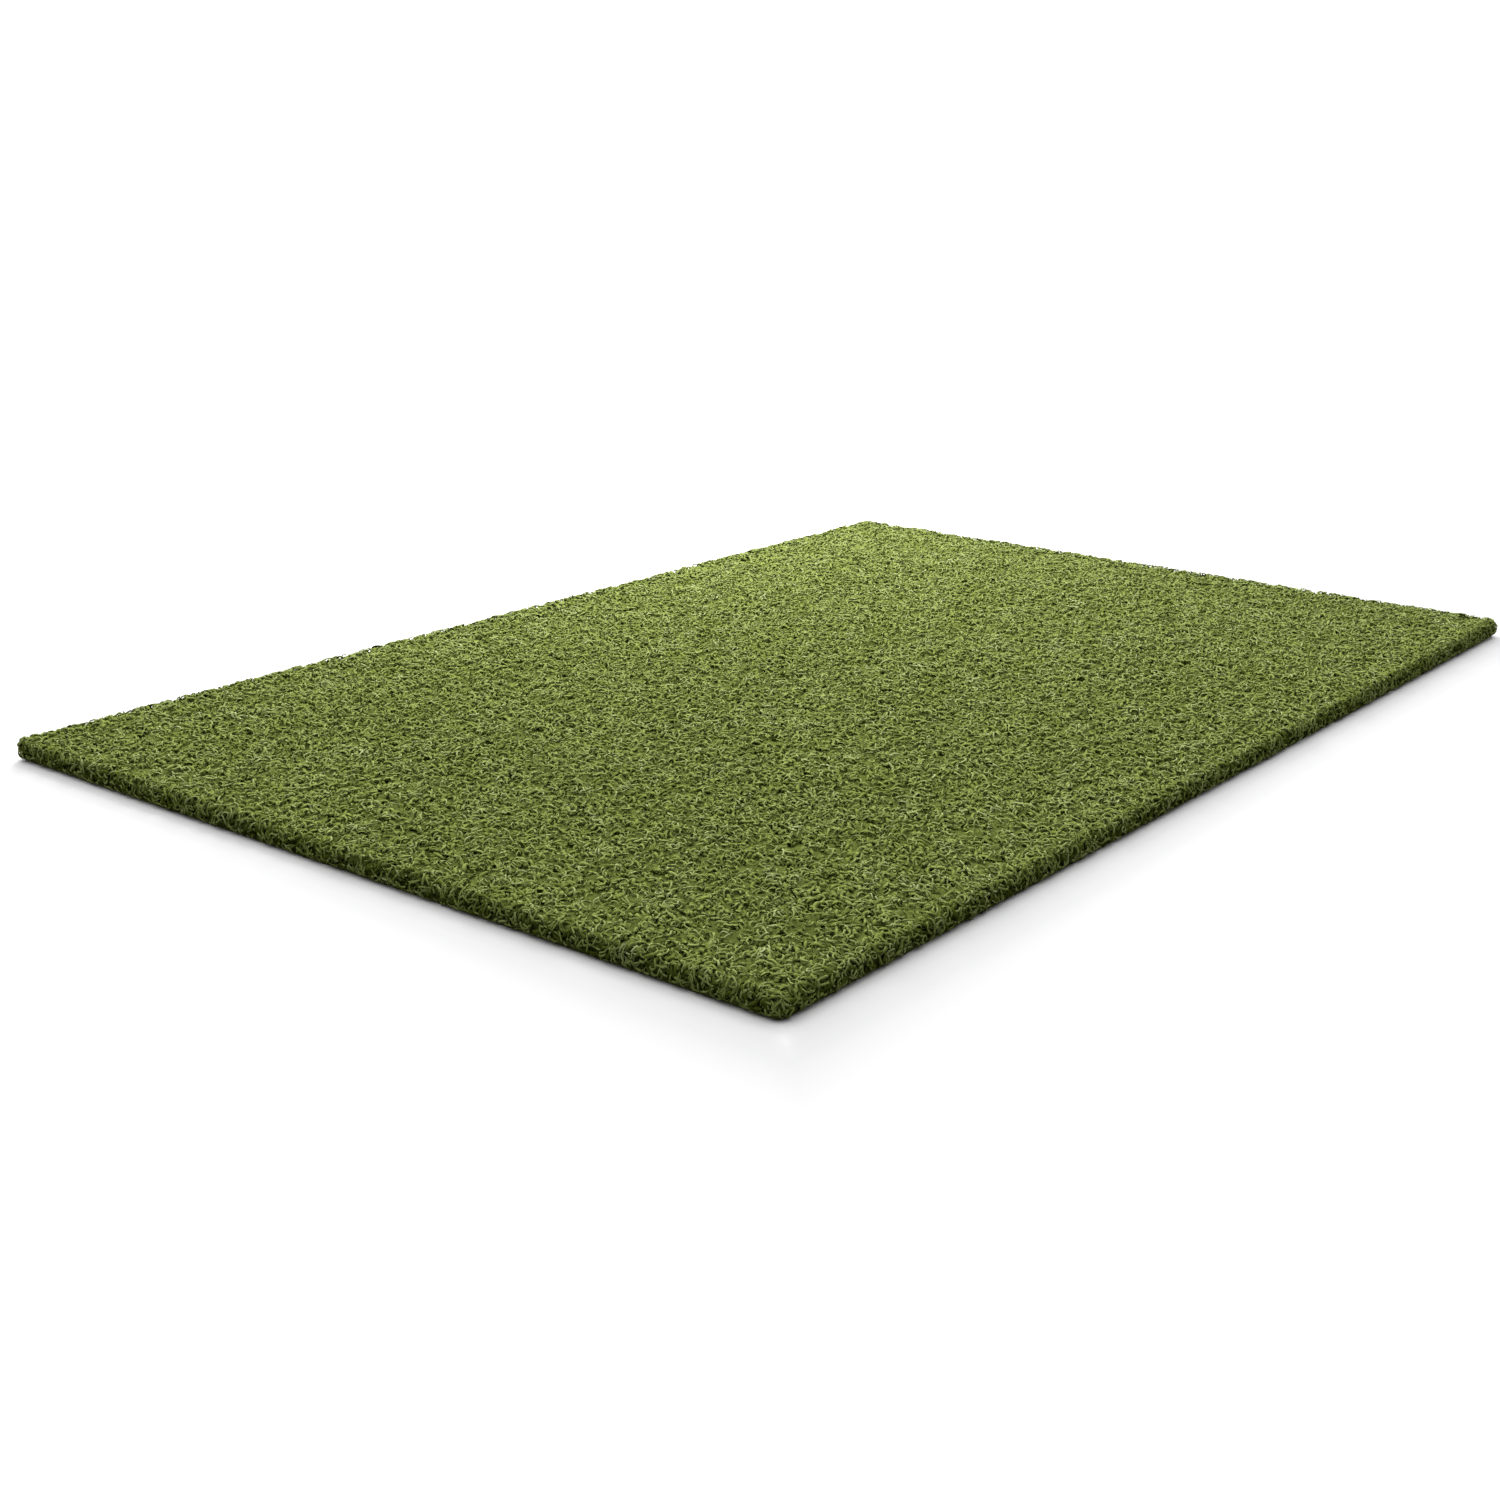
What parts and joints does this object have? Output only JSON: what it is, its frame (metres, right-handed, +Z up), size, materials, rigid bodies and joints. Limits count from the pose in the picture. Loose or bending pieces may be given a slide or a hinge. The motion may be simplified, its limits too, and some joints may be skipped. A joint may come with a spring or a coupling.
{
  "type": "golf hitting mat",
  "caption": "Rectangular golf hitting mat of dense curled green nylon turf on a thin foam and rubber backing, with rounded edges, that lies flat on the floor.",
  "frame": {"origin": "on the floor, under the middle of the mat", "axes": "+X along the mat's short side, +Y along its long side, +Z up out of the pile"},
  "size_m": [1, 1.5, 0.025],
  "materials": {
    "turf_yarn": "matte curled nylon yarn, olive green with lighter strands",
    "primary_cloth": "woven tape cloth, dark green",
    "lock_coating": "satin cured coating, dark grey",
    "secondary_cloth": "open leno-woven cloth, grey",
    "adhesive_film": "thin translucent amber glue film",
    "pad_foam": "fine closed-cell foam, black",
    "nonslip_rubber": "embossed matt rubber, black"
  },
  "bodies": {
    "root": {"nonslip_base": "nonslip_rubber", "foam_pad": "pad_foam", "pad_adhesive": "adhesive_film", "secondary_backing": "secondary_cloth", "tuft_lock_coating": "lock_coating", "primary_backing": "primary_cloth", "turf_pile": "turf_yarn"}
  },
  "joints": []
}
